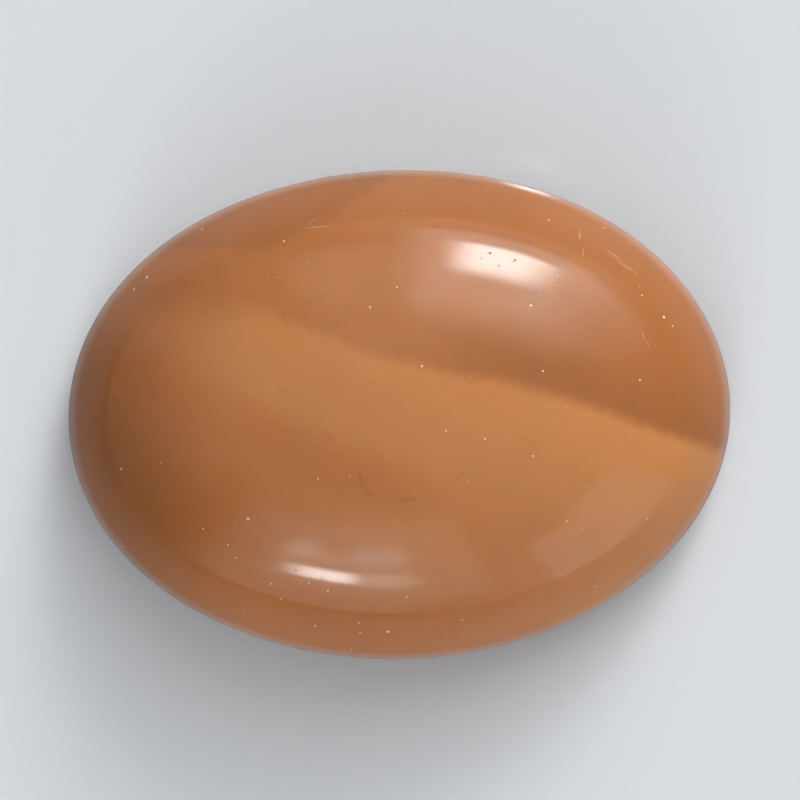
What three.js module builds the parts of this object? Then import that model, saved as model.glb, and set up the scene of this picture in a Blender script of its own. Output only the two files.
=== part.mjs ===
// An oval opal cabochon, cut from one piece of brown banded opal: a polished dome, a girdle around
// its widest ring, and a low rounded back that ends in a small flat spot, on which the stone rests.
// Millimetres, +Z up. The origin is the centre of the flat spot, and +X runs along the stone.

import * as THREE from 'three';

// Driving dimensions, in millimetres
const LENGTH = 30.0; // over the girdle, along X
const WIDTH = 22.15; // over the girdle, along Y
const HEIGHT = 8.5; // from the flat spot to the summit
const GIRDLE_HEIGHT = 1.5; // from the flat spot to the girdle

// The flat spot's length and width, as a share of the girdle's
const FLAT_SPOT_SHARE = 0.56;

// The dome is a half ellipsoid that stops a little above its equator, at the ring with this share
// of the equator's size, so that its flank leans in by 13 to 18 degrees where it meets the girdle.
const DOME_CUT = 0.985;

// The outline was cut by eye and wanders a few hundredths of a millimetre from a true oval. Each
// wave has its number of crests around the girdle, the share of the radius that it adds or takes
// away, and the turn from +X to its first crest, in degrees.
const OUTLINE_WAVES = [
  { crests: 3, share: 0.0012, turn: 24 },
  { crests: 4, share: 0.0018, turn: -43 },
  { crests: 5, share: 0.0012, turn: -8 },
];

// Steps of the facets
const SIDES = 96; // around the stone
const BACK_STEPS = 7; // from the flat spot's edge to the girdle
const DOME_STEPS = 22; // from the girdle to the summit

const OPAL_COLOUR = 0xad7550;
const POLISH_ROUGHNESS = 0.1;

const QUARTER_TURN = Math.PI / 2;

// How far the outline stands from a true oval at a turn from +X, as a factor on its radius
function outlineWander(turn) {
  let factor = 1;
  for (const wave of OUTLINE_WAVES) {
    const crest = THREE.MathUtils.degToRad(wave.turn);
    factor += wave.share * Math.cos(wave.crests * (turn - crest));
  }
  return factor;
}

// The back's rings, from the flat spot's edge up to the last one below the girdle. The back is a
// shallow half ellipsoid with the flat spot ground into it.
function backRings() {
  const flatSpotTurn = Math.acos(FLAT_SPOT_SHARE);
  const rings = [];
  for (let step = 0; step < BACK_STEPS; step += 1) {
    const turn = flatSpotTurn * (1 - step / BACK_STEPS);
    rings.push({
      share: Math.cos(turn),
      height: GIRDLE_HEIGHT * (1 - Math.sin(turn) / Math.sin(flatSpotTurn)),
    });
  }
  return rings;
}

// The dome's rings, from the girdle up to the last one below the summit
function domeRings() {
  const firstTurn = Math.acos(DOME_CUT);
  const firstRise = Math.sin(firstTurn);
  const domeHeight = HEIGHT - GIRDLE_HEIGHT;
  const rings = [];
  for (let step = 0; step < DOME_STEPS; step += 1) {
    const turn = firstTurn + (step / DOME_STEPS) * (QUARTER_TURN - firstTurn);
    const rise = (Math.sin(turn) - firstRise) / (1 - firstRise);
    rings.push({
      share: Math.cos(turn) / DOME_CUT,
      height: GIRDLE_HEIGHT + domeHeight * rise,
    });
  }
  return rings;
}

// The corners of one ring, anticlockwise from +X as seen from above
function ringCorners(ring) {
  const corners = [];
  for (let side = 0; side < SIDES; side += 1) {
    const turn = (side / SIDES) * 2 * Math.PI;
    const reach = ring.share * outlineWander(turn);
    const x = (LENGTH / 2) * reach * Math.cos(turn);
    const y = (WIDTH / 2) * reach * Math.sin(turn);
    corners.push(x, y, ring.height);
  }
  return corners;
}

// One closed skin: a fan over the flat spot, a band between each two rings, and a fan around the
// summit, all facing out
function stoneGeometry() {
  const rings = [...backRings(), ...domeRings()];
  const flatSpotCentre = [0, 0, 0];
  const summit = [0, 0, HEIGHT];
  const positions = [...flatSpotCentre, ...rings.flatMap(ringCorners), ...summit];
  const summitIndex = positions.length / 3 - 1;

  const corner = (ring, side) => 1 + ring * SIDES + (side % SIDES);
  const triangles = [];
  for (let side = 0; side < SIDES; side += 1) {
    triangles.push(0, corner(0, side + 1), corner(0, side));
    for (let ring = 0; ring < rings.length - 1; ring += 1) {
      const low = corner(ring, side);
      const lowNext = corner(ring, side + 1);
      const high = corner(ring + 1, side);
      const highNext = corner(ring + 1, side + 1);
      triangles.push(low, lowNext, highNext);
      triangles.push(low, highNext, high);
    }
    const last = rings.length - 1;
    triangles.push(corner(last, side), corner(last, side + 1), summitIndex);
  }

  const geometry = new THREE.BufferGeometry();
  geometry.setAttribute('position', new THREE.Float32BufferAttribute(positions, 3));
  geometry.setIndex(triangles);
  geometry.computeVertexNormals();
  return geometry;
}

function opalMaterial() {
  return new THREE.MeshStandardMaterial({
    color: OPAL_COLOUR,
    roughness: POLISH_ROUGHNESS,
    metalness: 0,
  });
}

const cabochon = new THREE.Mesh(stoneGeometry(), opalMaterial());
cabochon.name = 'cabochon';

const stone = new THREE.Group();
stone.add(cabochon);

export default stone;
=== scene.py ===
# Opal cabochon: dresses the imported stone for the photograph's view. Lengths are in metres unless a
# comment says otherwise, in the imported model's frame: origin at the middle of the flat spot, +X along
# the stone, +Z up through the summit of its dome.
import math
import random

import bpy
import numpy as np
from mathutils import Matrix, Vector, noise
from mathutils.geometry import delaunay_2d_cdt


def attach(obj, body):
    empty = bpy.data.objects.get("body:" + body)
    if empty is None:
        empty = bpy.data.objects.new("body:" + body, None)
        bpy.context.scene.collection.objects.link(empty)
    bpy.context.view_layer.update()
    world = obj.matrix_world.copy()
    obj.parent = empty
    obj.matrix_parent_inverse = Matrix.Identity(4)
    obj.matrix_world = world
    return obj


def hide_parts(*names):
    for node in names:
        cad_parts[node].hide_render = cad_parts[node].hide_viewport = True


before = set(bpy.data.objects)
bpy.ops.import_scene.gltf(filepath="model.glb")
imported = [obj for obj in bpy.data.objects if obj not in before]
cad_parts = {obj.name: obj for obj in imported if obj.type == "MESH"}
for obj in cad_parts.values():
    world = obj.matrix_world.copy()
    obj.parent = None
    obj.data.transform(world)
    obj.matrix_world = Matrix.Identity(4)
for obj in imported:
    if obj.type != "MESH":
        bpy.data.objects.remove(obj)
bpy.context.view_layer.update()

MM = 0.001
# Keeps divisions and roots away from zero
TINY = 1e-6

# The stone's driving dimensions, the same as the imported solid's
LENGTH = 30.0 * MM
WIDTH = 22.15 * MM
HEIGHT = 8.5 * MM
GIRDLE_HEIGHT = 1.5 * MM
FLAT_SPOT_SHARE = 0.56
DOME_CUT = 0.985
OUTLINE_WAVES = (
    # crests around the girdle, share of the radius, turn of the first crest in degrees
    (3, 0.0012, 24.0),
    (4, 0.0018, -43.0),
    (5, 0.0012, -8.0),
)

# Rings of the fine surface, from the summit, or the middle of the flat spot, out to the girdle
SURFACE_RINGS = 96
CORNERS_PER_RING_STEP = 6
GIRDLE_CORNERS = CORNERS_PER_RING_STEP * SURFACE_RINGS

HALF_LENGTH = LENGTH / 2
HALF_WIDTH = WIDTH / 2
DOME_HEIGHT = HEIGHT - GIRDLE_HEIGHT
GIRDLE_LEAN = math.asin(DOME_CUT)
DOME_FOOT = math.cos(GIRDLE_LEAN)
FLAT_SPOT_LEAN = math.acos(FLAT_SPOT_SHARE)

# The photograph: its size, the middle of the stone in it, and the stone's roll in it
PHOTO_PIXELS = 800
STONE_PIXEL_X = 398.98
STONE_PIXEL_Y = 414.12
STONE_LENGTH_PIXELS = 663.0
STONE_ROLL_DEGREES = 1.71
PHOTO_MIDDLE = PHOTO_PIXELS / 2
METRES_PER_PIXEL = LENGTH / STONE_LENGTH_PIXELS
ROLL = math.radians(-STONE_ROLL_DEGREES)
CAMERA_DISTANCE = 0.30
# The camera sees from its distance divided by this to its distance times this
CAMERA_CLIP_FACTOR = 100


# Camera

def make_camera():
    """Looks straight down on the dome, with the stone as large and as turned as in the photograph."""
    picture_width = PHOTO_PIXELS * METRES_PER_PIXEL
    data = bpy.data.cameras.new("camera")
    data.sensor_fit = "HORIZONTAL"
    data.lens = data.sensor_width * CAMERA_DISTANCE / picture_width
    data.clip_start = CAMERA_DISTANCE / CAMERA_CLIP_FACTOR
    data.clip_end = CAMERA_DISTANCE * CAMERA_CLIP_FACTOR
    camera = bpy.data.objects.new("camera", data)
    bpy.context.scene.collection.objects.link(camera)

    right = Vector((math.cos(ROLL), math.sin(ROLL), 0))
    up = Vector((-math.sin(ROLL), math.cos(ROLL), 0))
    aim = right * (PHOTO_MIDDLE - STONE_PIXEL_X) + up * (STONE_PIXEL_Y - PHOTO_MIDDLE)
    camera.location = aim * METRES_PER_PIXEL + Vector((0, 0, GIRDLE_HEIGHT + CAMERA_DISTANCE))
    camera.rotation_euler = (0, 0, ROLL)
    bpy.context.scene.camera = camera


# Shader nodes

class Nodes:
    """Adds nodes to one shader tree. A value may be a number, a tuple or another node's output."""

    def __init__(self, tree):
        self.tree = tree
        self.tree.nodes.clear()

    def add(self, kind, **settings):
        node = self.tree.nodes.new(kind)
        for name, value in settings.items():
            setattr(node, name, value)
        return node

    def put(self, socket, value):
        if isinstance(value, bpy.types.NodeSocket):
            self.tree.links.new(value, socket)
        elif value is not None:
            socket.default_value = value

    def math(self, operation, *values):
        node = self.add("ShaderNodeMath", operation=operation)
        for socket, value in zip(node.inputs, values):
            self.put(socket, value)
        return node.outputs[0]

    def between(self, value, low, high, to_low=0.0, to_high=1.0):
        """Goes smoothly from to_low to to_high as value goes from low to high."""
        node = self.add("ShaderNodeMapRange", interpolation_type="SMOOTHSTEP")
        for name, part in {"Value": value, "From Min": low, "From Max": high,
                           "To Min": to_low, "To Max": to_high}.items():
            self.put(node.inputs[name], part)
        return node.outputs["Result"]

    def mix(self, share, first, second):
        """One colour as share is 0, the other as it is 1."""
        node = self.add("ShaderNodeMix", data_type="RGBA")
        for name, part in {"Factor": share, "A": first, "B": second}.items():
            wanted = "NodeSocketFloatFactor" if name == "Factor" else "NodeSocketColor"
            socket = next(s for s in node.inputs if s.name == name and s.bl_idname == wanted)
            self.put(socket, part)
        return next(s for s in node.outputs if s.bl_idname == "NodeSocketColor")

    def mix_number(self, share, first, second):
        """One number as share is 0, the other as it is 1."""
        node = self.add("ShaderNodeMix", data_type="FLOAT")
        self.put(node.inputs[0], share)
        self.put(node.inputs[2], first)
        self.put(node.inputs[3], second)
        return node.outputs[0]

    def ramp(self, value, stops):
        """Colour by value: stops are (place from 0 to 1, colour)."""
        node = self.add("ShaderNodeValToRGB")
        node.color_ramp.interpolation = "LINEAR"
        elements = node.color_ramp.elements
        elements[0].position, elements[0].color = stops[0]
        elements[1].position, elements[1].color = stops[-1]
        for place, colour in stops[1:-1]:
            elements.new(place).color = colour
        self.put(node.inputs["Fac"], value)
        return node.outputs["Color"]

    def noise(self, vector, scale, detail, roughness=0.5):
        """Smooth noise from 0 to 1, with an average of 0.5."""
        node = self.add("ShaderNodeTexNoise")
        for name, part in {"Vector": vector, "Scale": scale, "Detail": detail,
                           "Roughness": roughness}.items():
            self.put(node.inputs[name], part)
        return node.outputs["Fac"]

    def curve(self, value, points, x_span, y_span):
        """A smooth curve through points (x, y), flat beyond its ends. The spans hold all the points."""
        x_low, x_high = x_span
        y_low, y_high = y_span
        node = self.add("ShaderNodeFloatCurve")
        line = node.mapping.curves[0]
        scaled = []
        for x, y in points:
            scaled.append(((x - x_low) / (x_high - x_low), (y - y_low) / (y_high - y_low)))
        line.points[0].location = scaled[0]
        line.points[1].location = scaled[-1]
        for place in scaled[1:-1]:
            line.points.new(*place)
        node.mapping.update()
        share = self.math("DIVIDE", self.math("SUBTRACT", value, x_low), x_high - x_low)
        self.put(node.inputs["Value"], share)
        return self.math("MULTIPLY_ADD", node.outputs["Value"], y_high - y_low, y_low)

    def attribute(self, name):
        return self.add("ShaderNodeAttribute", attribute_name=name).outputs["Fac"]


# Floor and lights

# The camera sees a pale floor. The stone is lit by, and mirrors, a greyer table just under it. The
# table's colour is a painted pool of light: pale near the stone, with painted shade that makes it dark
# further out.
FLOOR_RADIUS = 4.0
FLOOR_SIDES = 96
PAPER_ROUGHNESS = 0.9
FLOOR_COLOUR = (0.84, 0.87, 0.90, 1.0)
TABLE_NEAR_COLOUR = (0.74, 0.80, 0.86, 1.0)
TABLE_MIDDLE_COLOUR = (0.44, 0.48, 0.53, 1.0)
TABLE_FAR_COLOUR = (0.07, 0.07, 0.075, 1.0)
TABLE_DROP = 0.05 * MM
TABLE_FADE_START = 17 * MM
TABLE_FADE_END = 40 * MM
TABLE_DARK_START = 60 * MM
TABLE_DARK_END = 75 * MM
# A pale sheet lies on the table between these azimuths, in degrees
SHEET_COLOUR = (0.62, 0.64, 0.66, 1.0)
SHEET_SIDES = (-64, -27)
SHEET_EDGE = 1.5
SHEET_START = 22 * MM
SHEET_WHOLE = 24.2 * MM

ROOM_COLOUR = (0.95, 0.98, 1.0, 1.0)
ROOM_GLOW_LOW = 0.02
ROOM_GLOW_OVERHEAD = 0.30
# Upward parts of the directions between which the room gets brighter
ROOM_GLOW_SPAN = (0.35, 1.0)

LIGHT_COLOUR = (1.0, 1.0, 1.0, 1.0)
# Each light is a far sheet that glows softly. Its parts are added up. Each has its brightness, zenith
# span, azimuth span, how far it fades out above and below, and how far it fades out right and left.
# The angles are in degrees, as seen from the stone, and the azimuth turns from +X towards +Y.
KEY_LIGHT = (
    (16.5, (63.5, 72.5), (67, 73), (9, 3.5), (15, 9)),
    (1.3, (46, 74), (46, 78), (20, 9), (22, 14)),
    (1.8, (52, 80), (57, 80), (20, 3), (18, 12)),
    (0.7, (52, 70), (30, 50), (14, 12), (14, 20)),
    (0.9, (50, 66), (92, 104), (14, 12), (16, 14)),
    (0.4, (26, 36), (70, 108), (12, 16), (22, 18)),
    (0.7, (82, 90), (48, 85), (12, 1), (14, 22)),
)
FILL_LIGHT = (
    (13.0, (67.0, 70.0), (253, 257), (3, 2.5), (9, 6)),
    (1.4, (67.0, 70.5), (258, 268), (3, 2.5), (6, 9)),
    (1.0, (60, 72), (247, 266), (8, 4), (8, 10)),
    (1.3, (54, 59), (246, 249), (4, 4), (5, 5)),
    (1.2, (53, 57), (261, 267), (4, 4), (5, 6)),
    (0.7, (50, 90), (236, 266), (12, 1), (14, 14)),
    (0.5, (46, 78), (250, 278), (14, 8), (14, 12)),
    (0.4, (66, 90), (286, 318), (20, 1), (16, 14)),
    (0.2, (34, 76), (281, 283), (8, 10), (3, 3)),
    (0.2, (42, 90), (150, 190), (14, 1), (24, 24)),
    (0.62, (58, 90), (311, 333), (3, 1), (2, 2)),
    (0.75, (64, 90), (298, 309), (3, 1), (2, 2)),
)
LIGHT_DISTANCE = 4.8
# Steps of the sheets' meshes, in degrees
LIGHT_STEP = 1.0

# A small bright strip lies beside the stone and glints in its rim. It follows the girdle between two
# turns, in degrees, from one distance outside it to another.
GLINT_TURNS = (60, 71)
GLINT_REACH = (0.9 * MM, 1.5 * MM)
GLINT_HEIGHT = 0.05 * MM
GLINT_BRIGHTNESS = 2.8
GLINT_STEPS = 12


def sky_direction(zenith, azimuth):
    """Unit vector towards a place in the sky, both angles in degrees."""
    zenith = math.radians(zenith)
    azimuth = math.radians(azimuth)
    outward = math.sin(zenith)
    return Vector((outward * math.cos(azimuth), outward * math.sin(azimuth), math.cos(zenith)))


def smooth(low, high, value):
    """Goes smoothly from 0 to 1 as value goes from low to high."""
    share = min(max((value - low) / (high - low), 0.0), 1.0)
    return share * share * (3 - 2 * share)


def glow_at(parts, zenith, azimuth):
    """Brightness of a light's parts at a place in the sky."""
    total = 0.0
    for brightness, (top, bottom), (right, left), (above, below), (before, beyond) in parts:
        height = smooth(top - above, top, zenith) * (1 - smooth(bottom, bottom + below, zenith))
        width = smooth(right - before, right, azimuth) * (1 - smooth(left, left + beyond, azimuth))
        total += brightness * height * width
    return total


def make_disc(name, radius, height, material):
    corners = []
    for side in range(FLOOR_SIDES):
        turn = 2 * math.pi * side / FLOOR_SIDES
        corners.append((radius * math.cos(turn), radius * math.sin(turn), height))
    mesh = bpy.data.meshes.new(name)
    mesh.from_pydata(corners, [], [list(range(FLOOR_SIDES))])
    mesh.materials.append(material)
    disc = bpy.data.objects.new(name, mesh)
    bpy.context.scene.collection.objects.link(disc)
    return disc


def paper_material(name, colour_of):
    """Matt paper. colour_of(nodes) gives its colour, or the output of a node."""
    material = bpy.data.materials.new(name)
    material.use_nodes = True
    nodes = Nodes(material.node_tree)
    shader = nodes.add("ShaderNodeBsdfPrincipled")
    nodes.put(shader.inputs["Base Color"], colour_of(nodes))
    nodes.put(shader.inputs["Roughness"], PAPER_ROUGHNESS)
    output = nodes.add("ShaderNodeOutputMaterial")
    nodes.put(output.inputs["Surface"], shader.outputs[0])
    return material


def table_colour(nodes):
    """A painted pool of light: pale near the stone, with painted shade further out, and the sheet on
    one side.
    """
    place = nodes.add("ShaderNodeTexCoord").outputs["Object"]
    length = nodes.add("ShaderNodeVectorMath", operation="LENGTH")
    nodes.put(length.inputs[0], place)
    distance = length.outputs["Value"]
    parts = nodes.add("ShaderNodeSeparateXYZ")
    nodes.put(parts.inputs[0], place)
    azimuth = nodes.math("DEGREES", nodes.math("ARCTAN2", parts.outputs["Y"], parts.outputs["X"]))

    # Painted pool of light near the stone, fading to painted shade further out
    fade = nodes.between(distance, TABLE_FADE_START, TABLE_FADE_END)
    colour = nodes.mix(fade, TABLE_NEAR_COLOUR, TABLE_MIDDLE_COLOUR)
    dark = nodes.between(distance, TABLE_DARK_START, TABLE_DARK_END)
    colour = nodes.mix(dark, colour, TABLE_FAR_COLOUR)

    first, last = SHEET_SIDES
    inside = nodes.math("MULTIPLY", nodes.between(azimuth, first - SHEET_EDGE, first + SHEET_EDGE),
                        nodes.between(azimuth, last + SHEET_EDGE, last - SHEET_EDGE))
    inside = nodes.math("MULTIPLY", inside, nodes.between(distance, SHEET_START, SHEET_WHOLE))
    return nodes.mix(inside, colour, SHEET_COLOUR)


def make_floor():
    paper = paper_material("floor_paper", lambda nodes: FLOOR_COLOUR)
    floor = make_disc("floor", FLOOR_RADIUS, 0, paper)
    floor.visible_diffuse = False
    floor.visible_glossy = False
    floor.visible_transmission = False
    paper = paper_material("table_top", table_colour)
    table = make_disc("table", FLOOR_RADIUS, -TABLE_DROP, paper)
    table.visible_camera = False
    table.visible_shadow = False


def glow_material(name, colour):
    """Glows by the mesh's own brightness and lets what is behind it through."""
    material = bpy.data.materials.new(name)
    material.use_nodes = True
    nodes = Nodes(material.node_tree)
    light = nodes.add("ShaderNodeEmission")
    nodes.put(light.inputs["Color"], colour)
    nodes.put(light.inputs["Strength"], nodes.attribute("glow"))
    shader = nodes.add("ShaderNodeAddShader")
    nodes.put(shader.inputs[0], light.outputs[0])
    nodes.put(shader.inputs[1], nodes.add("ShaderNodeBsdfTransparent").outputs[0])
    output = nodes.add("ShaderNodeOutputMaterial")
    nodes.put(output.inputs["Surface"], shader.outputs[0])
    return material


def make_light(name, parts, colour):
    """A curved sheet around the stone at a distance, wherever the light's parts glow."""
    zenith_start = min(top - above for _, (top, _), _, (above, _), _ in parts)
    zenith_end = max(bottom + below for _, (_, bottom), _, (_, below), _ in parts)
    azimuth_start = min(right - before for _, _, (right, _), _, (before, _) in parts)
    azimuth_end = max(left + beyond for _, _, (_, left), _, (_, beyond) in parts)
    rows = math.ceil((zenith_end - zenith_start) / LIGHT_STEP)
    columns = math.ceil((azimuth_end - azimuth_start) / LIGHT_STEP)
    places = []
    brightness = []
    for row in range(rows + 1):
        zenith = zenith_start + (zenith_end - zenith_start) * row / rows
        for column in range(columns + 1):
            azimuth = azimuth_start + (azimuth_end - azimuth_start) * column / columns
            places.append(sky_direction(zenith, azimuth) * LIGHT_DISTANCE)
            brightness.append(glow_at(parts, zenith, azimuth))
    faces = []
    for row in range(rows):
        for column in range(columns):
            first = row * (columns + 1) + column
            face = (first, first + 1, first + columns + 2, first + columns + 1)
            if any(brightness[corner] > 0 for corner in face):
                faces.append(face)
    add_sheet(name, places, faces, brightness, colour)


def make_glint(colour):
    """The bright strip beside the stone, dim at both ends. It only shows in reflections."""
    places = []
    brightness = []
    faces = []
    first, last = GLINT_TURNS
    for step in range(GLINT_STEPS + 1):
        share = step / GLINT_STEPS
        turn = math.radians(first + (last - first) * share)
        edge = Vector((HALF_LENGTH * math.cos(turn), HALF_WIDTH * math.sin(turn), GLINT_HEIGHT))
        outward = Vector((math.cos(turn) / HALF_LENGTH, math.sin(turn) / HALF_WIDTH, 0))
        outward.normalize()
        places.extend(edge + outward * reach for reach in GLINT_REACH)
        brightness.extend([GLINT_BRIGHTNESS * math.sin(math.pi * share)] * 2)
    for step in range(GLINT_STEPS):
        faces.append((2 * step, 2 * step + 1, 2 * step + 3, 2 * step + 2))
    add_sheet("glint", places, faces, brightness, colour).visible_diffuse = False


def add_sheet(name, places, faces, brightness, colour):
    """A sheet that glows by the brightness at each of its places."""
    mesh = bpy.data.meshes.new(name)
    mesh.from_pydata(places, [], faces)
    mesh.attributes.new("glow", "FLOAT", "POINT").data.foreach_set("value", brightness)
    mesh.materials.append(glow_material(name, colour))
    sheet = bpy.data.objects.new(name, mesh)
    sheet.visible_camera = False
    sheet.visible_shadow = False
    bpy.context.scene.collection.objects.link(sheet)
    return sheet


def make_room():
    """A dim room, a little brighter overhead."""
    world = bpy.data.worlds.new("room")
    world.use_nodes = True
    nodes = Nodes(world.node_tree)
    direction = nodes.add("ShaderNodeSeparateXYZ")
    nodes.put(direction.inputs[0], nodes.add("ShaderNodeTexCoord").outputs["Generated"])
    shader = nodes.add("ShaderNodeBackground")
    nodes.put(shader.inputs["Color"], ROOM_COLOUR)
    glow = nodes.between(direction.outputs["Z"], *ROOM_GLOW_SPAN, ROOM_GLOW_LOW, ROOM_GLOW_OVERHEAD)
    nodes.put(shader.inputs["Strength"], glow)
    output = nodes.add("ShaderNodeOutputWorld")
    nodes.put(output.inputs["Surface"], shader.outputs[0])
    bpy.context.scene.world = world


def make_lights():
    make_light("key_light", KEY_LIGHT, LIGHT_COLOUR)
    make_light("fill_light", FILL_LIGHT, LIGHT_COLOUR)
    make_glint(LIGHT_COLOUR)
    make_room()


# The stone's surface

def outline_wander(turn):
    """Factor on the true oval's radius at a turn from +X."""
    factor = np.ones_like(turn)
    for crests, share, first_crest in OUTLINE_WAVES:
        factor += share * np.cos(crests * (turn - math.radians(first_crest)))
    return factor


def ring_place(share, turn):
    """X and Y at a share of the girdle's size."""
    reach = share * outline_wander(turn)
    return HALF_LENGTH * reach * np.cos(turn), HALF_WIDTH * reach * np.sin(turn)


def dome_surface(flat):
    """Places on the dome. A row of flat is a point of a disc, in which the distance from the middle
    is the dome's lean in radians, from 0 at the summit."""
    lean = np.hypot(flat[:, 0], flat[:, 1])
    turn = np.arctan2(flat[:, 1], flat[:, 0])
    x, y = ring_place(np.sin(lean) / DOME_CUT, turn)
    rise = (np.cos(lean) - DOME_FOOT) / (1 - DOME_FOOT)
    return np.column_stack((x, y, GIRDLE_HEIGHT + DOME_HEIGHT * rise))


def dome_flat(x, y):
    """The disc's point for a place on the dome seen from above: the opposite of dome_surface."""
    turn = np.arctan2(y / HALF_WIDTH, x / HALF_LENGTH)
    share = np.hypot(x / HALF_LENGTH, y / HALF_WIDTH) / outline_wander(turn)
    lean = np.arcsin(np.clip(share * DOME_CUT, 0, 1))
    return np.column_stack((lean * np.cos(turn), lean * np.sin(turn)))


def dome_normals(places):
    """Outward directions of the half ellipsoid that the dome is cut from."""
    slope = np.column_stack((places[:, 0] / HALF_LENGTH**2, places[:, 1] / HALF_WIDTH**2))
    full_height = DOME_HEIGHT / (1 - DOME_FOOT)
    share = np.hypot(places[:, 0] / HALF_LENGTH, places[:, 1] / HALF_WIDTH) * DOME_CUT
    steepness = full_height * DOME_CUT**2 / np.sqrt(np.clip(1 - share**2, TINY, 1))
    directions = np.column_stack((slope * steepness[:, None], np.ones(len(places))))
    return directions / np.linalg.norm(directions, axis=1)[:, None]


def back_surface(flat):
    """Places on the back. The disc's radius of 1 is the girdle, and the flat spot's edge lies at
    FLAT_SPOT_SHARE."""
    radius = np.hypot(flat[:, 0], flat[:, 1])
    turn = np.arctan2(flat[:, 1], flat[:, 0])
    lean = FLAT_SPOT_LEAN * np.clip((1 - radius) / (1 - FLAT_SPOT_SHARE), 0, 1)
    share = np.where(radius > FLAT_SPOT_SHARE, np.cos(lean), radius)
    x, y = ring_place(share, turn)
    return np.column_stack((x, y, GIRDLE_HEIGHT * (1 - np.sin(lean) / math.sin(FLAT_SPOT_LEAN))))


def disc_lattice(radius):
    """Points of a disc in rings, the outermost ring first. Each ring has a few corners more than the
    one inside it."""
    points = []
    for ring in range(SURFACE_RINGS, 0, -1):
        corners = CORNERS_PER_RING_STEP * ring
        for corner in range(corners):
            turn = 2 * math.pi * corner / corners
            distance = radius * ring / SURFACE_RINGS
            points.append((distance * math.cos(turn), distance * math.sin(turn)))
    points.append((0.0, 0.0))
    return np.array(points)


# Small flaws of the polished dome, at places measured in the photograph

# Pits that hold pale polishing powder: pixels across and down the photograph, radius in millimetres
PALE_PITS = (
    (147, 277, 0.075), (248, 519, 0.075), (388, 632, 0.080), (531, 305, 0.075), (664, 317, 0.075),
    (422, 366, 0.055), (121, 469, 0.060), (328, 591, 0.060), (309, 583, 0.055), (271, 584, 0.050),
    (134, 289, 0.045), (202, 229, 0.045), (284, 241, 0.050), (370, 307, 0.050), (397, 287, 0.045),
    (673, 326, 0.045), (543, 371, 0.045), (640, 380, 0.050), (549, 220, 0.045), (604, 228, 0.045),
    (642, 295, 0.045), (228, 545, 0.045), (236, 558, 0.045), (281, 599, 0.045), (315, 626, 0.055),
    (359, 623, 0.045), (360, 633, 0.045), (351, 650, 0.045), (485, 439, 0.050), (533, 456, 0.050),
    (446, 431, 0.040), (567, 521, 0.040), (647, 519, 0.045), (462, 620, 0.045), (448, 651, 0.045),
    (596, 587, 0.040), (407, 597, 0.040), (318, 479, 0.040), (203, 529, 0.040), (122, 547, 0.040),
)
# Clean pits, which show only where they break a reflection, given in the same way
DARK_PITS = (
    (481, 258, 0.042), (490, 253, 0.046), (499, 266, 0.034), (515, 260, 0.048), (512, 262, 0.030),
    (558, 283, 0.042), (291, 575, 0.042), (296, 570, 0.038), (300, 577, 0.034), (322, 578, 0.034),
)
# Fine pits all over the dome: how many, and their smallest and largest radius in millimetres
FINE_PITS = 90
FINE_PIT_RADIUS = (0.014, 0.030)
FINE_PIT_SEED = 7
# How far out they lie, as a share of the girdle's size, and how full of powder they may be
FINE_PIT_REACH = 0.97
FINE_PIT_POWDER = (0.0, 0.5, 1.0)
PIT_DEPTH_SHARE = 0.6
PIT_CORNERS = 8
# The even lattice stays this many radii away from a pit
PIT_CLEARANCE = 2.3
# Rings of a pit, as shares of its radius and of its depth, and how full of powder they are. The last
# one lies on the even surface, so that the pit's shading ends there.
PIT_RINGS = (
    (0.0, 1.0, 1.0),
    (0.45, 0.8, 1.0),
    (0.80, 0.35, 0.8),
    (1.12, 0.0, 0.0),
    (1.8, 0.0, 0.0),
)

# Scratches: the pixels of their two ends, and how pale they are
SCRATCHES = (
    ((580, 228), (579, 242), 0.55),
    ((583, 247), (583, 258), 0.45),
    ((604, 248), (622, 259), 0.32),
    ((607, 253), (627, 264), 0.24),
    ((616, 260), (634, 272), 0.28),
    ((624, 262), (640, 277), 0.20),
    ((300, 229), (334, 225), 0.20),
    ((303, 227), (319, 217), 0.15),
    ((640, 330), (652, 352), 0.20),
)
SCRATCH_HALF_WIDTH = 0.035 * MM
SCRATCH_DEPTH = 0.006 * MM
SCRATCH_STEP = 0.08 * MM

# The polish is not quite even: it dips by up to this much in shallow waves about this long
WAVE_DEPTH = 0.010 * MM
WAVE_LENGTH = 4.5 * MM
WAVE_FADE = 1.5 * MM

# Rounds in which a pixel's place on the dome is found
PLACE_ROUNDS = 5
MERGE_DISTANCE = 1e-9


def dome_rise(x, y):
    """Height above the girdle of the dome's places."""
    share = np.clip(np.hypot(x / HALF_LENGTH, y / HALF_WIDTH) * DOME_CUT, 0, 1)
    return DOME_HEIGHT * (np.sqrt(1 - share**2) - DOME_FOOT) / (1 - DOME_FOOT)


def dome_in_photo(pixels):
    """X and Y of the dome's places that are seen at pixels of the photograph."""
    pixels = np.asarray(pixels, dtype=float)
    from_middle_x = pixels[:, 0] - PHOTO_MIDDLE
    from_middle_y = PHOTO_MIDDLE - pixels[:, 1]
    x = np.zeros(len(pixels))
    y = np.zeros(len(pixels))
    for _ in range(PLACE_ROUNDS):
        nearness = 1 - dome_rise(x, y) / CAMERA_DISTANCE
        right = (from_middle_x * nearness + PHOTO_MIDDLE - STONE_PIXEL_X) * METRES_PER_PIXEL
        up = (from_middle_y * nearness + STONE_PIXEL_Y - PHOTO_MIDDLE) * METRES_PER_PIXEL
        x = right * math.cos(ROLL) - up * math.sin(ROLL)
        y = right * math.sin(ROLL) + up * math.cos(ROLL)
    return np.column_stack((x, y))


def tangents(places):
    """Two directions along the dome at each place: level, and downhill."""
    normals = dome_normals(places)
    level = np.column_stack((-normals[:, 1], normals[:, 0], np.zeros(len(places))))
    length = np.linalg.norm(level, axis=1)
    level[length < TINY] = (1, 0, 0)
    level /= np.maximum(length, TINY)[:, None]
    return level, np.cross(level, normals)


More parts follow.
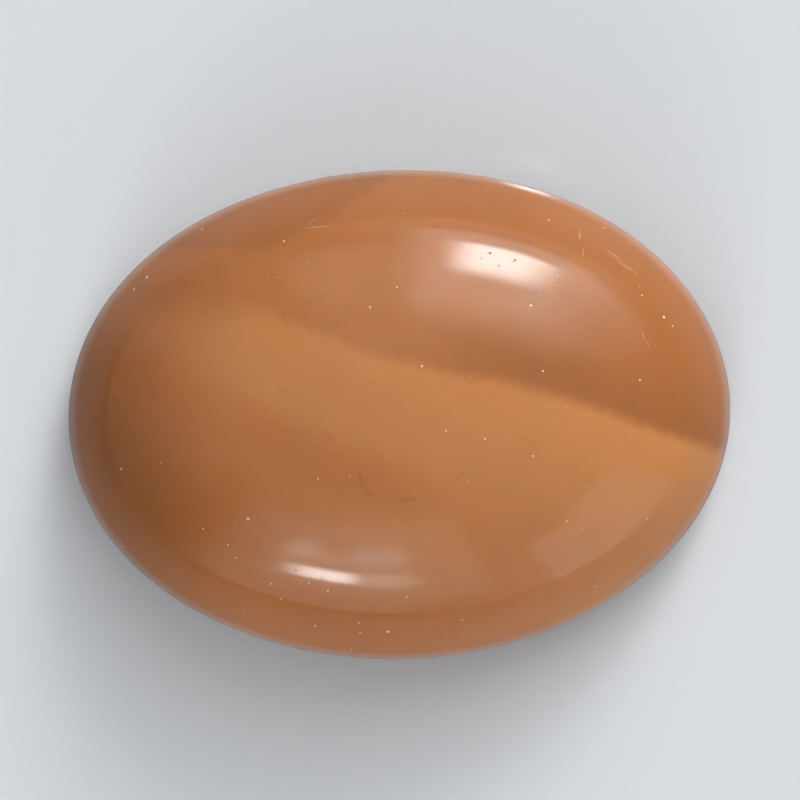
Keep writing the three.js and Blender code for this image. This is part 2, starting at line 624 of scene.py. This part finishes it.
class Marks:
    """Points of small flaws on the dome: where they are in the disc, how deep, and what they hold."""

    def __init__(self):
        self.points = []
        self.depths = []
        self.powder = []
        self.scratched = []
        self.keep_clear = []

    def add(self, places, depths, powder, scratched, clear_radius):
        """Adds points, and keeps the even lattice clear of them."""
        self.points.extend(dome_flat(places[:, 0], places[:, 1]))
        self.depths.extend(depths)
        self.powder.extend(powder)
        self.scratched.extend(scratched)
        self.keep_clear.extend((place, clear_radius) for place in places)


def add_pit(marks, x, y, radius, powder):
    """A round pit at a place on the dome. powder is how full of it the pit is, from 0 to 1."""
    flat = dome_flat(np.array([x]), np.array([y]))
    centre = dome_surface(flat)
    level, downhill = tangents(centre)
    places = []
    depths = []
    powders = []
    for share, depth_share, fullness in PIT_RINGS:
        for corner in range(PIT_CORNERS if share else 1):
            turn = 2 * math.pi * corner / PIT_CORNERS
            outward = math.cos(turn) * level[0] + math.sin(turn) * downhill[0]
            places.append(centre[0] + radius * share * outward)
            depths.append(radius * PIT_DEPTH_SHARE * depth_share)
            powders.append(powder * fullness)
    marks.add(np.array(places), depths, powders, [0.0] * len(places), radius * PIT_CLEARANCE)


def add_scratch(marks, start, end, paleness):
    """A shallow groove between two places, which fades out at both."""
    steps = max(int(np.linalg.norm(end - start) / SCRATCH_STEP), 2)
    share = np.linspace(0, 1, steps + 1)[:, None]
    middle = start + (end - start) * share
    along = (end - start) / np.linalg.norm(end - start)
    across = np.array((-along[1], along[0]))
    strength = np.sin(math.pi * share[:, 0])
    for side in (-1, 0, 1):
        places = middle + across * side * SCRATCH_HALF_WIDTH
        centre = 1.0 if side == 0 else 0.0
        marks.add(places, SCRATCH_DEPTH * strength * centre, np.zeros(len(places)),
                  paleness * strength * centre, SCRATCH_HALF_WIDTH)


def dome_marks():
    """All the small flaws of the dome."""
    marks = Marks()
    for pits, powder in ((PALE_PITS, 1.0), (DARK_PITS, 0.0)):
        for (x, y), (_, _, radius) in zip(dome_in_photo([pit[:2] for pit in pits]), pits):
            add_pit(marks, x, y, radius * MM, powder)
    scatter = random.Random(FINE_PIT_SEED)
    for _ in range(FINE_PITS):
        reach = FINE_PIT_REACH * math.sqrt(scatter.random())
        turn = 2 * math.pi * scatter.random()
        radius = scatter.uniform(*FINE_PIT_RADIUS) * MM
        x = HALF_LENGTH * reach * math.cos(turn)
        y = HALF_WIDTH * reach * math.sin(turn)
        add_pit(marks, x, y, radius, scatter.choice(FINE_PIT_POWDER))
    ends = dome_in_photo([end for scratch in SCRATCHES for end in scratch[:2]])
    for index, (_, _, paleness) in enumerate(SCRATCHES):
        add_scratch(marks, ends[2 * index], ends[2 * index + 1], paleness)
    return marks


def clear_lattice(points, marks):
    """The lattice without the points that lie on or beside a mark. The outermost ring stays."""
    places = dome_surface(points)[:, :2]
    kept = np.ones(len(points), dtype=bool)
    for place, radius in marks.keep_clear:
        kept &= np.hypot(places[:, 0] - place[0], places[:, 1] - place[1]) > radius
    kept[:GIRDLE_CORNERS] = True
    return points[kept]


def wave_depths(places):
    """How far the uneven polish dips at each place. It fades out towards the girdle."""
    depths = []
    for x, y, z in places:
        share = 0.5 + 0.5 * noise.noise(Vector((x, y, z)) / WAVE_LENGTH)
        fade = smooth(GIRDLE_HEIGHT, GIRDLE_HEIGHT + WAVE_FADE, z)
        depths.append(WAVE_DEPTH * share * fade)
    return np.array(depths)


def triangles_between(points):
    """Triangles that join the points of a disc, anticlockwise."""
    flat = [Vector(point) for point in points]
    vertices, _, faces, origins, _, _ = delaunay_2d_cdt(flat, [], [], 0, MERGE_DISTANCE)
    index = [origin[0] for origin in origins[:len(vertices)]]
    return [tuple(index[corner] for corner in face) for face in faces]


def set_point_values(mesh, name, values):
    mesh.attributes.new(name, "FLOAT", "POINT").data.foreach_set("value", values)


def stone_mesh():
    """One closed skin: the dome with its flaws, and the back, joined at the girdle."""
    marks = dome_marks()
    lattice = clear_lattice(disc_lattice(GIRDLE_LEAN), marks)
    dome_points = np.vstack((lattice, marks.points))
    even = dome_surface(dome_points)
    depths = wave_depths(even)
    depths[len(lattice):] += marks.depths
    dome = even - dome_normals(even) * depths[:, None]
    back_points = disc_lattice(1.0)
    back = back_surface(back_points)
    shift = len(dome) - GIRDLE_CORNERS

    places = np.vstack((dome, back[GIRDLE_CORNERS:]))
    faces = triangles_between(dome_points)
    for face in triangles_between(back_points):
        joined = [corner if corner < GIRDLE_CORNERS else corner + shift for corner in face]
        faces.append(tuple(reversed(joined)))
    mesh = bpy.data.meshes.new("opal_stone")
    mesh.from_pydata(places.tolist(), [], faces)
    before = [0.0] * len(lattice)
    after = [0.0] * (len(places) - len(dome))
    set_point_values(mesh, "powder", [*before, *marks.powder, *after])
    set_point_values(mesh, "scratched", [*before, *marks.scratched, *after])
    mesh.shade_smooth()
    return mesh


# The stone's material. Its places and lengths are in millimetres, apart from the spread of light.

# Where the bands lie, seen from above
UPPER_EDGE = ((-16, 7.7), (-11.3, 7.7), (-8.2, 7.6), (-5.7, 7.7), (-4.0, 8.3), (-1.5, 9.8), (2, 12))
MIDDLE_EDGE = ((-16, 5.9), (-10.5, 5.6), (-7.2, 5.5), (-5.9, 5.2), (-4.5, 4.3), (-2.6, 3.4),
               (-1.4, 2.85), (1.5, 2.1), (6.4, 0.9), (10.3, -0.5), (13.2, -1.6), (16, -2.6))
LOWER_EDGE = ((-16, 6.0), (-12, 4.0), (-8.1, 2.1), (-4.7, 0.2), (-2.4, -0.9), (-0.1, -1.8), (2.2, -2.7),
              (4.5, -3.7), (6.7, -4.7), (10, -6.2), (16, -8.5))
MAP_X = (-16, 16)
MAP_Y = (-14, 14)

# Each wander has its noise's scale, detail and reach. The edges wander by both of theirs.
EDGE_WANDERS = ((0.35, 2.0, 0.20), (2.2, 3.0, 0.10))
RED_WANDERS = ((0.5, 3.0, 0.018), (3.0, 3.0, 0.008))
POLISH_WANDER = (0.8, 3.0, 0.008)
VEIN_WANDER_X = (1.7, 2.0, 0.16)
VEIN_WANDER_Y = (1.3, 2.0, 0.16)
# Noise around 0 times this, and times a reach, mostly stays within the reach
NOISE_SWING = 2.5

# The gold band's edges are soft. Each starts this far from its line, by X: from one X to another it
# goes from one start to another. It ends on the line's other side.
LOWER_EDGE_START = (-9.5, -5.5, -4.5, -1.1)
LOWER_EDGE_END = 0.4
MIDDLE_EDGE_START = (-8.5, -3.5, -1.8, -0.5)
MIDDLE_EDGE_END = 0.35
# How golden the colour is: below the lower edge it turns brown over this span, and above the middle
# edge it goes from one share to another between two X
LOWER_GOLD_SPAN = (-1.1, 0.4)
UPPER_GOLD_SHARE = (-9, -3, 0.75, 0.35)
# Above the upper edge the stone gets this much darker, over this span
UPPER_EDGE_STEP = (-0.4, 0.4, 0.0, 0.06)
# The stripes' spans, from where they start to where they are at full strength
UPPER_STRIPE_SPAN = (2.8, 1.0)
LOWER_STRIPE_SPAN = (-3.6, -1.6)

# The red part of each band's colour along X: the value at the left end, then smooth changes, each from
# one X to another. The darkening towards the left end is partly the bands' own colour and partly
# painted shade of the left side, which faces away from the lights.
GOLD = (0.41, ((-14, -6, 0.195), (-4, 3, 0.03), (4, 13, 0.10)))
BROWN = (0.40, ((-13.5, -5.5, 0.22), (-5, 3, 0.06), (5, 12, 0.06)))
UPPER_BROWN = (0.425, ((-11, -4.5, 0.07), (1, 7, -0.03)))

# How much darker a stripe is along X: above the middle edge, and below the lower one
UPPER_STRIPE = (0.0, ((-2, 4, 0.04), (8, 12, -0.03)))
LOWER_STRIPE = (0.02, ((-9, -5, 0.035), (-1, 6, -0.045)))

# Painted shade: how much darker the stone's flank is made than its top, along X, where less light
# reaches it. Below zero it is painted light, lighter than the top.
FLANK_PAINTED_SHADE = (0.0, ((-9, -2, 0.045), (2, 9, -0.06)))
FLANK_TOP = 7.3
FLANK_FOOT = 4.8

DARKEST_RED = 0.32
PALEST_RED = 0.82
GOLD_COLOURS = (
    # red, green and blue
    (0.32, 0.122, 0.050),
    (0.42, 0.163, 0.064),
    (0.52, 0.204, 0.072),
    (0.60, 0.243, 0.083),
    (0.66, 0.267, 0.096),
    (0.72, 0.294, 0.106),
    (0.82, 0.347, 0.130),
)
BROWN_COLOURS = (
    (0.32, 0.112, 0.040),
    (0.42, 0.151, 0.048),
    (0.52, 0.188, 0.058),
    (0.60, 0.218, 0.072),
    (0.66, 0.255, 0.092),
    (0.72, 0.291, 0.106),
    (0.82, 0.342, 0.130),
)

# Veins: middle X and Y, turn from +X in degrees, half length, half width, strength
VEINS = (
    (-3.05, -0.95, -50, 0.55, 0.16, 0.8),
    (-1.75, -2.85, -72, 0.60, 0.15, 0.9),
    (-1.45, -3.45, -35, 0.40, 0.14, 0.9),
    (0.25, -3.80, 5, 0.50, 0.17, 0.8),
    (2.65, -2.75, 60, 0.34, 0.20, 0.8),
    (-0.60, -3.50, 20, 0.70, 0.12, 0.5),
    (-2.60, -2.00, -40, 0.70, 0.12, 0.4),
    (-5.10, 1.20, 30, 0.40, 0.18, 0.4),
    (5.60, -1.30, -20, 0.60, 0.13, 0.3),
)
VEIN_DARKNESS = 0.07
# A vein's strength grows between these squares of its reach
VEIN_SOFTNESS = (1.0, 0.1)
FLECK_MIDDLE = (-3.6, 4.4)
FLECK_REACH = (2.2, 1.4)
FLECK_ELSEWHERE = 0.12
FLECK_PATCH_SOFTNESS = (1.3, 0.2)
FLECK_SCALE = 3.2
FLECK_DETAIL = 3.0
FLECK_NOISE_ROUGHNESS = 0.6
FLECK_SPOTS = (0.52, 0.68)
FLECK_DARKNESS = 0.05

# Pale powder in the pits and scratches
POWDER_COLOUR = (0.95, 0.86, 0.72, 1.0)
POWDER_ROUGHNESS = 0.6

# The flat spot and the back are lapped, not polished
BACK_ROUGHNESS = 0.22
FLAT_SPOT_ROUGHNESS = 0.42
# Heights between which the polish turns into the back, and the back into the flat spot
BACK_START = (GIRDLE_HEIGHT / MM, GIRDLE_HEIGHT / MM - 0.2)
FLAT_SPOT_START = (0.02, 0.005)

# The polish is a little duller close above the girdle, and a painted sheen makes its colour paler
# there: the pale table's reflection, painted into the colour
RIM_SHEEN_COLOUR = (0.74, 0.60, 0.54, 1.0)
RIM_TOP = 2.7
RIM_SHEEN_SHARE = 0.40
POLISH = 0.035
RIM_DULLNESS = 0.15

OPAL_REFRACTION = 1.45
# Light enters the opal and spreads: how far in red, green and blue, as shares of the scale in metres
LIGHT_SPREAD = (1.0, 0.45, 0.2)
LIGHT_SPREAD_SCALE = 0.35 * MM


def place_in_millimetres(nodes):
    """The place on the stone in millimetres, as a vector and as its three parts."""
    scaled = nodes.add("ShaderNodeVectorMath", operation="SCALE")
    nodes.put(scaled.inputs[0], nodes.add("ShaderNodeTexCoord").outputs["Object"])
    nodes.put(scaled.inputs["Scale"], 1 / MM)
    parts = nodes.add("ShaderNodeSeparateXYZ")
    nodes.put(parts.inputs[0], scaled.outputs[0])
    return scaled.outputs[0], parts.outputs["X"], parts.outputs["Y"], parts.outputs["Z"]


def changing(nodes, value, course):
    """A start value and the smooth changes that are added to it as value grows."""
    total, changes = course
    for low, high, change in changes:
        total = nodes.math("ADD", total, nodes.between(value, low, high, 0.0, change))
    return total


def above_edge(nodes, x, y, edge, wander):
    """How far a place lies above a band's edge, in millimetres."""
    height = nodes.curve(x, edge, MAP_X, MAP_Y)
    return nodes.math("ADD", nodes.math("SUBTRACT", y, height), wander)


def swing(nodes, place, scale, detail, reach):
    """Noise around 0 that mostly stays within reach."""
    centred = nodes.math("SUBTRACT", nodes.noise(place, scale, detail), 0.5)
    return nodes.math("MULTIPLY", centred, NOISE_SWING * reach)


def wandering(nodes, place, value, wanders):
    """A value that wanders over the stone."""
    for wander in wanders:
        value = nodes.math("ADD", value, swing(nodes, place, *wander))
    return value


def lower_part(nodes, x, over_lower):
    """Red part and goldness of the gold band and of the brown below it."""
    strength = nodes.between(over_lower, *LOWER_STRIPE_SPAN)
    stripe = nodes.math("MULTIPLY", changing(nodes, x, LOWER_STRIPE), strength)
    # Partly painted shade: both bands darken towards the left end, away from the lights
    brown = nodes.math("SUBTRACT", changing(nodes, x, BROWN), stripe)
    gold = changing(nodes, x, GOLD)
    edge_start = nodes.between(x, *LOWER_EDGE_START)
    red = nodes.mix_number(nodes.between(over_lower, edge_start, LOWER_EDGE_END), brown, gold)
    return red, nodes.between(over_lower, *LOWER_GOLD_SPAN)


def upper_part(nodes, x, over_middle, over_upper):
    """Red part and goldness of the brown above the gold band."""
    strength = nodes.between(over_middle, *UPPER_STRIPE_SPAN)
    stripe = nodes.math("MULTIPLY", changing(nodes, x, UPPER_STRIPE), strength)
    # Partly painted shade: darker towards the left end, away from the lights
    red = nodes.math("SUBTRACT", changing(nodes, x, UPPER_BROWN), stripe)
    red = nodes.math("SUBTRACT", red, nodes.between(over_upper, *UPPER_EDGE_STEP))
    return red, nodes.between(x, *UPPER_GOLD_SHARE)


def band_colour(nodes, place, x, y, z):
    """The colour of the stone's bands, with painted shade on its flank and towards its left end, and
    painted light on its right flank.
    """
    wander = wandering(nodes, place, 0.0, EDGE_WANDERS)
    over_upper = above_edge(nodes, x, y, UPPER_EDGE, wander)
    over_middle = above_edge(nodes, x, y, MIDDLE_EDGE, wander)
    over_lower = above_edge(nodes, x, y, LOWER_EDGE, wander)

    red, goldness = lower_part(nodes, x, over_lower)
    upper_red, upper_goldness = upper_part(nodes, x, over_middle, over_upper)
    edge_start = nodes.between(x, *MIDDLE_EDGE_START)
    upper_share = nodes.between(over_middle, edge_start, MIDDLE_EDGE_END)
    red = nodes.mix_number(upper_share, red, upper_red)
    goldness = nodes.mix_number(upper_share, goldness, upper_goldness)

    # Painted shade on the flank, and painted light where the value is below zero
    lowness = nodes.between(z, FLANK_TOP, FLANK_FOOT)
    flank = nodes.math("MULTIPLY", changing(nodes, x, FLANK_PAINTED_SHADE), lowness)
    red = nodes.math("SUBTRACT", red, flank)
    red = wandering(nodes, place, red, RED_WANDERS)
    red = nodes.math("MULTIPLY_ADD", dark_strokes(nodes, place, x, y), -VEIN_DARKNESS, red)
    red = nodes.math("MULTIPLY_ADD", flecks(nodes, place, x, y), -FLECK_DARKNESS, red)
    from_darkest = nodes.math("SUBTRACT", red, DARKEST_RED)
    share = nodes.math("DIVIDE", from_darkest, PALEST_RED - DARKEST_RED)
    brown = nodes.ramp(share, red_stops(BROWN_COLOURS))
    gold = nodes.ramp(share, red_stops(GOLD_COLOURS))
    return nodes.mix(goldness, brown, gold)


def dark_strokes(nodes, place, x, y):
    """Strength of the small soft dark veins."""
    bent_x = nodes.math("ADD", x, swing(nodes, place, *VEIN_WANDER_X))
    bent_y = nodes.math("ADD", y, swing(nodes, place, *VEIN_WANDER_Y))
    total = 0.0
    for middle_x, middle_y, turn, half_length, half_width, strength in VEINS:
        cosine = math.cos(math.radians(turn))
        sine = math.sin(math.radians(turn))
        from_x = nodes.math("SUBTRACT", bent_x, middle_x)
        from_y = nodes.math("SUBTRACT", bent_y, middle_y)
        along = nodes.math("ADD", nodes.math("MULTIPLY", from_x, cosine / half_length),
                           nodes.math("MULTIPLY", from_y, sine / half_length))
        across = nodes.math("ADD", nodes.math("MULTIPLY", from_x, -sine / half_width),
                            nodes.math("MULTIPLY", from_y, cosine / half_width))
        reach = square_reach(nodes, along, across)
        vein = nodes.between(reach, *VEIN_SOFTNESS, 0.0, strength)
        total = nodes.math("ADD", total, vein)
    return total


def square_reach(nodes, first, second):
    """The sum of two squares."""
    return nodes.math("ADD", nodes.math("MULTIPLY", first, first),
                      nodes.math("MULTIPLY", second, second))


def flecks(nodes, place, x, y):
    """Fine dark mottling, strongest in one patch."""
    middle_x, middle_y = FLECK_MIDDLE
    half_x, half_y = FLECK_REACH
    from_x = nodes.math("DIVIDE", nodes.math("SUBTRACT", x, middle_x), half_x)
    from_y = nodes.math("DIVIDE", nodes.math("SUBTRACT", y, middle_y), half_y)
    reach = square_reach(nodes, from_x, from_y)
    strength = nodes.between(reach, *FLECK_PATCH_SOFTNESS, FLECK_ELSEWHERE, 1.0)
    mottling = nodes.noise(place, FLECK_SCALE, FLECK_DETAIL, FLECK_NOISE_ROUGHNESS)
    spots = nodes.between(mottling, *FLECK_SPOTS)
    return nodes.math("MULTIPLY", spots, strength)


def red_stops(colours):
    """Stops of a ramp whose colours lie along it by their red part."""
    stops = []
    for red, green, blue in colours:
        place = (red - DARKEST_RED) / (PALEST_RED - DARKEST_RED)
        stops.append((place, (red, green, blue, 1.0)))
    return stops


def opal_roughness(nodes, place, z, near_rim, powder):
    """Polished on the dome, duller at the rim, on the back, on the flat spot and on powder."""
    roughness = nodes.math("MULTIPLY_ADD", near_rim, RIM_DULLNESS, POLISH)
    roughness = nodes.math("ADD", roughness, swing(nodes, place, *POLISH_WANDER))
    roughness = nodes.mix_number(nodes.between(z, *BACK_START), roughness, BACK_ROUGHNESS)
    on_flat_spot = nodes.between(z, *FLAT_SPOT_START)
    roughness = nodes.mix_number(on_flat_spot, roughness, FLAT_SPOT_ROUGHNESS)
    return nodes.mix_number(powder, roughness, POWDER_ROUGHNESS)


def opal_material():
    """Banded brown opal that lets light in a little."""
    material = bpy.data.materials.new("brown_opal")
    material.use_nodes = True
    nodes = Nodes(material.node_tree)
    place, x, y, z = place_in_millimetres(nodes)
    colour = band_colour(nodes, place, x, y, z)
    near_rim = nodes.between(z, RIM_TOP, GIRDLE_HEIGHT / MM)
    # Painted sheen: the pale table's reflection, painted into the colour just above the girdle
    colour = nodes.mix(nodes.math("MULTIPLY", near_rim, RIM_SHEEN_SHARE), colour, RIM_SHEEN_COLOUR)
    powder = nodes.math("MAXIMUM", nodes.attribute("powder"), nodes.attribute("scratched"))
    colour = nodes.mix(powder, colour, POWDER_COLOUR)
    roughness = opal_roughness(nodes, place, z, near_rim, powder)

    shader = nodes.add("ShaderNodeBsdfPrincipled", subsurface_method="BURLEY")
    nodes.put(shader.inputs["Base Color"], colour)
    nodes.put(shader.inputs["Roughness"], roughness)
    nodes.put(shader.inputs["IOR"], OPAL_REFRACTION)
    nodes.put(shader.inputs["Subsurface Weight"], 1.0)
    nodes.put(shader.inputs["Subsurface Radius"], LIGHT_SPREAD)
    nodes.put(shader.inputs["Subsurface Scale"], LIGHT_SPREAD_SCALE)
    output = nodes.add("ShaderNodeOutputMaterial")
    nodes.put(output.inputs["Surface"], shader.outputs[0])
    return material


def make_stone():
    mesh = stone_mesh()
    mesh.materials.append(opal_material())
    stone = bpy.data.objects.new("opal_stone", mesh)
    bpy.context.scene.collection.objects.link(stone)
    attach(stone, "root")
    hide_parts("cabochon")


make_camera()
make_floor()
make_lights()
make_stone()
bpy.context.scene.view_settings.view_transform = "Standard"
